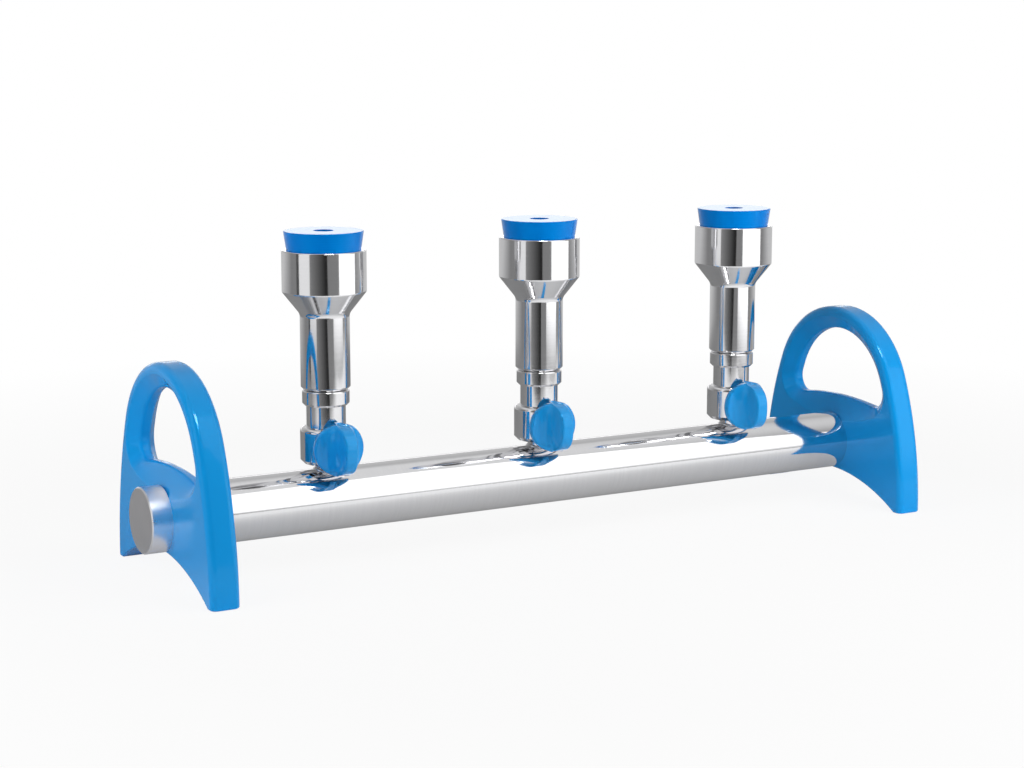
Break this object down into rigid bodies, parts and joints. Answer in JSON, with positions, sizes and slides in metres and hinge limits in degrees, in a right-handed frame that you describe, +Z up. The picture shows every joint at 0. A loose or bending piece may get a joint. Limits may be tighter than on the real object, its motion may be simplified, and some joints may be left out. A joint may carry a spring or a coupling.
{
  "type": "vacuum filtration manifold",
  "caption": "Bench vacuum filtration manifold: polished tube between moulded handle feet, with upright valved funnel holders that carry bored stoppers and a hose outlet.",
  "frame": {"origin": "on the bench, under the middle of the object's box", "axes": "+X along the tube towards the vacuum outlet, +Z up, -Y the side of the valve knobs"},
  "size_m": [0.467, 0.128, 0.1683],
  "materials": {
    "polished_steel": "mirror polished stainless steel",
    "handle_blue": "glossy moulded plastic",
    "knob_blue": "glossy moulded plastic",
    "stopper_silicone": "satin silicone rubber",
    "turned_steel": "fine turned",
    "seat_polymer": "smooth white fluoropolymer",
    "seal_rubber": "black moulded rubber"
  },
  "bodies": {
    "frame": {"manifold_tube": "polished_steel", "left_handle": "handle_blue", "right_handle": "handle_blue", "left_end_plug": "turned_steel", "right_end_plug": "turned_steel", "left_plug_seal": "seal_rubber", "right_plug_seal": "seal_rubber", "left_end_cap": "polished_steel", "outlet_cap": "polished_steel", "hose_nozzle": "polished_steel", "station_1_nipple": "polished_steel", "station_1_valve_body": "polished_steel", "station_1_lower_seat": "seat_polymer", "station_1_upper_seat": "seat_polymer", "station_1_stem_seal": "seal_rubber", "station_1_stem_bush": "turned_steel", "station_1_adapter": "polished_steel", "station_1_lock_ring": "polished_steel", "station_1_funnel_holder": "polished_steel", "station_1_holder_seal": "seal_rubber", "station_2_nipple": "polished_steel", "station_2_valve_body": "polished_steel", "station_2_lower_seat": "seat_polymer", "station_2_upper_seat": "seat_polymer", "station_2_stem_seal": "seal_rubber", "station_2_stem_bush": "turned_steel", "station_2_adapter": "polished_steel", "station_2_lock_ring": "polished_steel", "station_2_funnel_holder": "polished_steel", "station_2_holder_seal": "seal_rubber", "station_3_nipple": "polished_steel", "station_3_valve_body": "polished_steel", "station_3_lower_seat": "seat_polymer", "station_3_upper_seat": "seat_polymer", "station_3_stem_seal": "seal_rubber", "station_3_stem_bush": "turned_steel", "station_3_adapter": "polished_steel", "station_3_lock_ring": "polished_steel", "station_3_funnel_holder": "polished_steel", "station_3_holder_seal": "seal_rubber"},
    "valve_1": {"station_1_valve_ball": "turned_steel", "station_1_valve_stem": "turned_steel", "station_1_knob": "knob_blue", "station_1_knob_screw": "turned_steel"},
    "stopper_1": {"station_1_stopper": "stopper_silicone"},
    "valve_2": {"station_2_valve_ball": "turned_steel", "station_2_valve_stem": "turned_steel", "station_2_knob": "knob_blue", "station_2_knob_screw": "turned_steel"},
    "stopper_2": {"station_2_stopper": "stopper_silicone"},
    "valve_3": {"station_3_valve_ball": "turned_steel", "station_3_valve_stem": "turned_steel", "station_3_knob": "knob_blue", "station_3_knob_screw": "turned_steel"},
    "stopper_3": {"station_3_stopper": "stopper_silicone"}
  },
  "joints": [
    {"name": "valve_1_turn", "type": "hinge", "parent": "frame", "child": "valve_1", "pos_m": [-0.134, -0.0178, 0.0602], "axis": [0, -1, 0], "range_deg": [0, 90]},
    {"name": "stopper_1_lift", "type": "slide", "parent": "frame", "child": "stopper_1", "axis": [0, 0, 1], "range_m": [0, 0.03]},
    {"name": "valve_2_turn", "type": "hinge", "parent": "frame", "child": "valve_2", "pos_m": [-0.01, -0.0178, 0.0602], "axis": [0, -1, 0], "range_deg": [0, 90]},
    {"name": "stopper_2_lift", "type": "slide", "parent": "frame", "child": "stopper_2", "axis": [0, 0, 1], "range_m": [0, 0.03]},
    {"name": "valve_3_turn", "type": "hinge", "parent": "frame", "child": "valve_3", "pos_m": [0.114, -0.0178, 0.0602], "axis": [0, -1, 0], "range_deg": [0, 90]},
    {"name": "stopper_3_lift", "type": "slide", "parent": "frame", "child": "stopper_3", "axis": [0, 0, 1], "range_m": [0, 0.03]}
  ]
}
